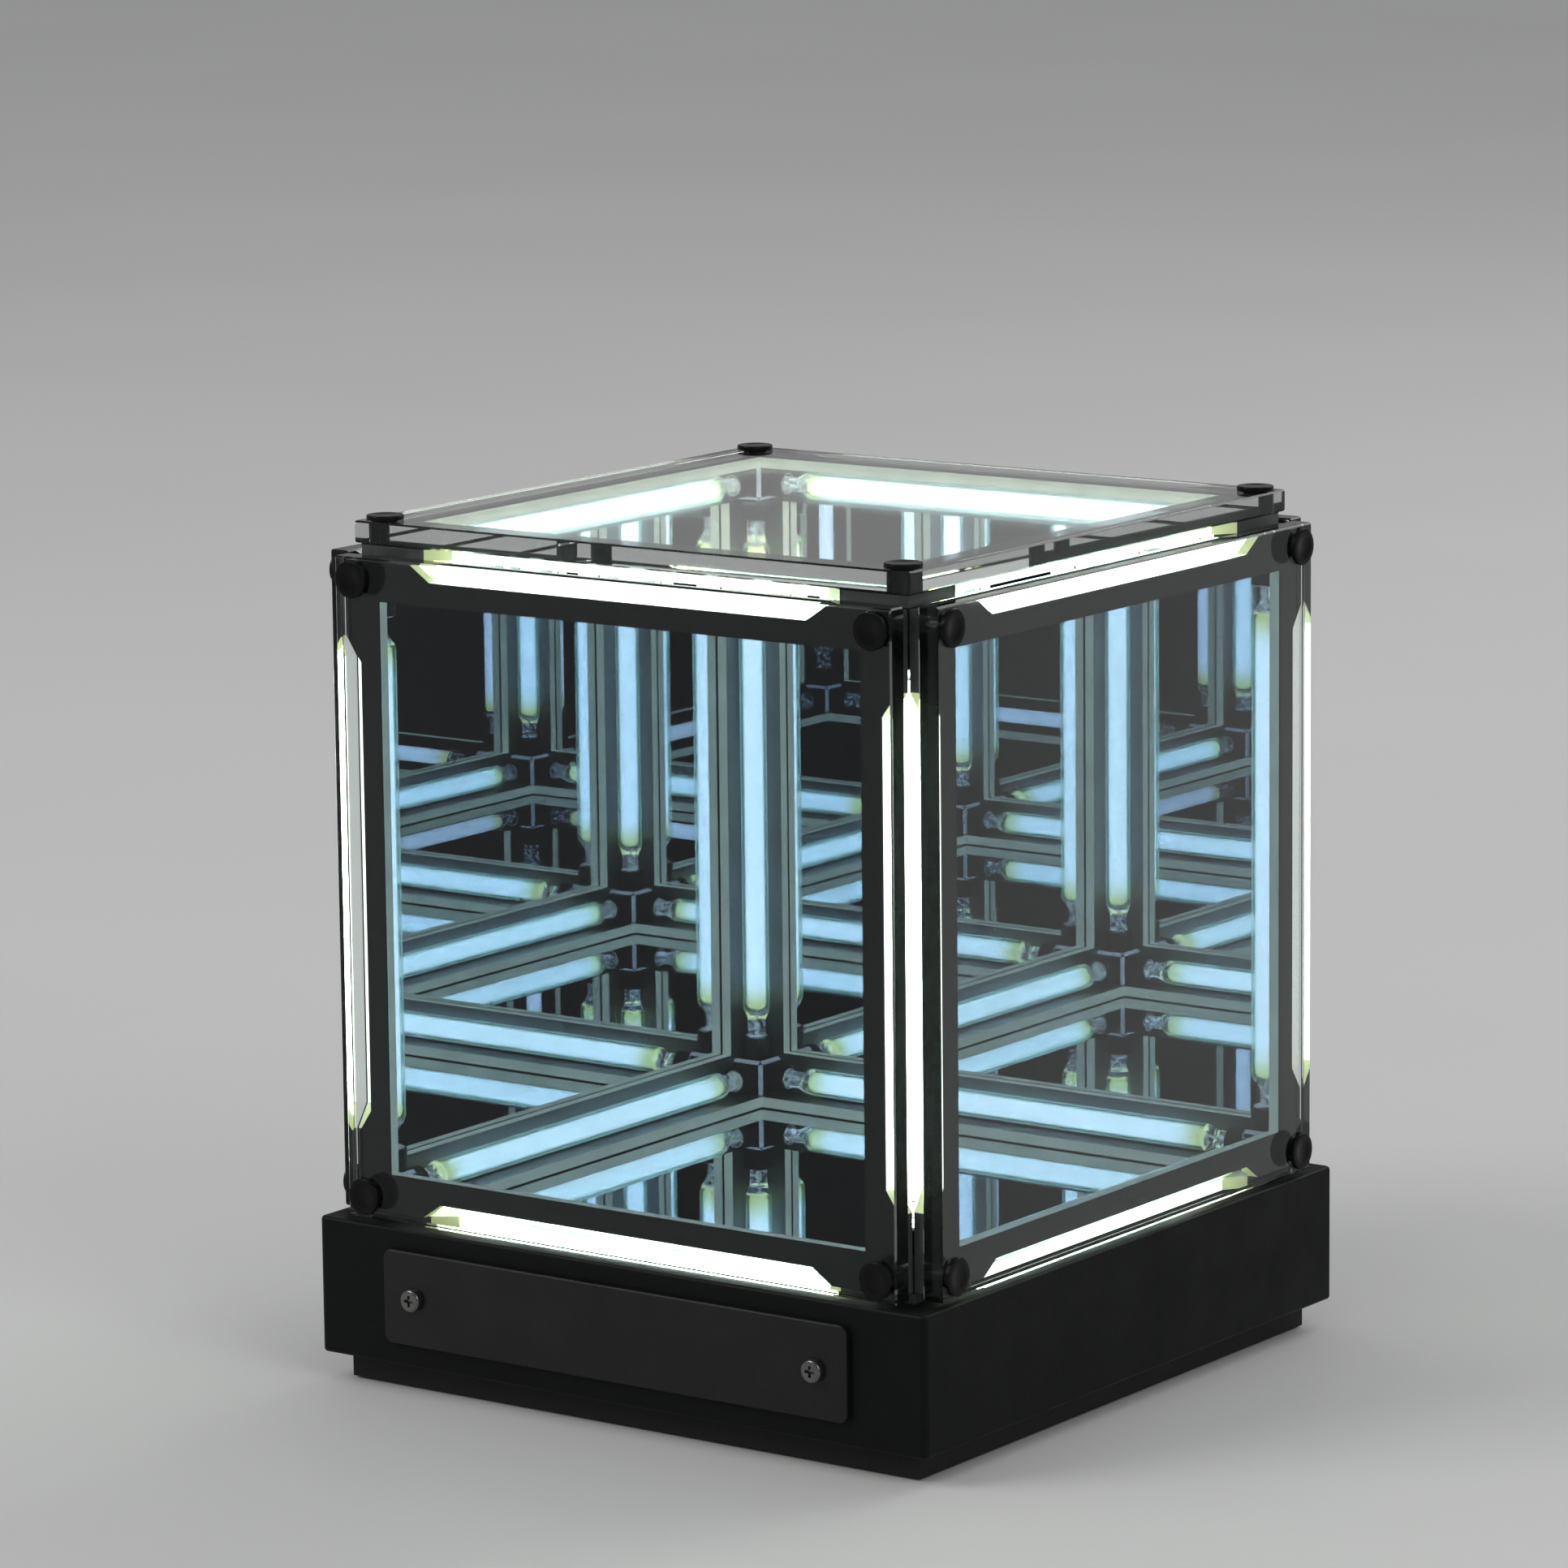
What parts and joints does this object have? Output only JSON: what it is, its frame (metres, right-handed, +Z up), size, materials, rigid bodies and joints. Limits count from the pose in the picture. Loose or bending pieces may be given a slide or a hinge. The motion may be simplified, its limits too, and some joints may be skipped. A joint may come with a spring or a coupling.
{
  "type": "cube lamp",
  "caption": "Free-standing cube lamp with tube lamps along its edges between clear mirror panels, on a black box base.",
  "frame": {"origin": "middle of the footprint, on the surface that the feet stand on", "axes": "+Z up; -Y is the front, with the cover plate; +X is the viewer's right when facing the front"},
  "size_m": [0.1662, 0.1722, 0.1971],
  "materials": {
    "clear_glass": "polished clear sheet",
    "mirror_film": "two-way mirror film",
    "mask_black": "gloss black, paler cut edges",
    "tape_black": "matte black",
    "hub_black": "gloss black",
    "lamp_glass": "clear glass tube",
    "lamp_light": "bright white, lit",
    "cap_metal": "bright metal",
    "post_black": "satin black",
    "base_black": "fine satin black",
    "plinth_black": "matte black",
    "plate_black": "semi-gloss black",
    "screw_dark": "blackened steel",
    "foot_rubber": "matte rubber",
    "board_green": "solder mask",
    "terminal_plastic": "moulded",
    "capacitor_sleeve": "shrink sleeve",
    "lead_insulation": "soft insulation",
    "control_black": "gloss black",
    "nut_metal": "plated",
    "button_plastic": "satin black"
  },
  "bodies": {
    "lamp": {"glass_front": "clear_glass", "mirror_film_front": "mirror_film", "mask_front": "mask_black", "glass_back": "clear_glass", "mirror_film_back": "mirror_film", "mask_back": "mask_black", "glass_left": "clear_glass", "mirror_film_left": "mirror_film", "mask_left": "mask_black", "glass_right": "clear_glass", "mirror_film_right": "mirror_film", "mask_right": "mask_black", "glass_top": "clear_glass", "mirror_film_top": "mirror_film", "mask_top": "mask_black", "glass_bottom": "clear_glass", "mirror_film_bottom": "mirror_film", "mask_bottom": "mask_black", "mask_tapes": "tape_black", "hub_top_front_left": "hub_black", "hub_top_front_right": "hub_black", "hub_top_back_left": "hub_black", "hub_top_back_right": "hub_black", "hub_bottom_front_left": "hub_black", "hub_bottom_front_right": "hub_black", "hub_bottom_back_left": "hub_black", "hub_bottom_back_right": "hub_black", "lamp_tube_top_front": "lamp_glass", "lamp_tube_top_back": "lamp_glass", "lamp_tube_top_left": "lamp_glass", "lamp_tube_top_right": "lamp_glass", "lamp_tube_bottom_front": "lamp_glass", "lamp_tube_bottom_back": "lamp_glass", "lamp_tube_bottom_left": "lamp_glass", "lamp_tube_bottom_right": "lamp_glass", "lamp_tube_front_left": "lamp_glass", "lamp_tube_front_right": "lamp_glass", "lamp_tube_back_left": "lamp_glass", "lamp_tube_back_right": "lamp_glass", "lamp_rods": "lamp_light", "lamp_end_caps": "cap_metal", "panel_posts": "post_black", "base_posts": "post_black", "base_shell": "base_black", "base_floor": "plinth_black", "floor_screws": "screw_dark", "rubber_feet": "foot_rubber", "front_plate": "plate_black", "front_plate_screws": "screw_dark", "driver_board": "board_green", "board_screws": "screw_dark", "terminal_block": "terminal_plastic", "filter_capacitor": "capacitor_sleeve", "power_leads": "lead_insulation", "dc_jack": "control_black", "jack_nut": "nut_metal", "button_bezel": "control_black", "bezel_nut": "nut_metal"},
    "button": {"power_button": "button_plastic"}
  },
  "joints": [
    {"name": "power_button_press", "type": "slide", "parent": "lamp", "child": "button", "axis": [0, -1, 0], "range_m": [0, 0.0015], "stiffness_N_per_m": 300}
  ]
}
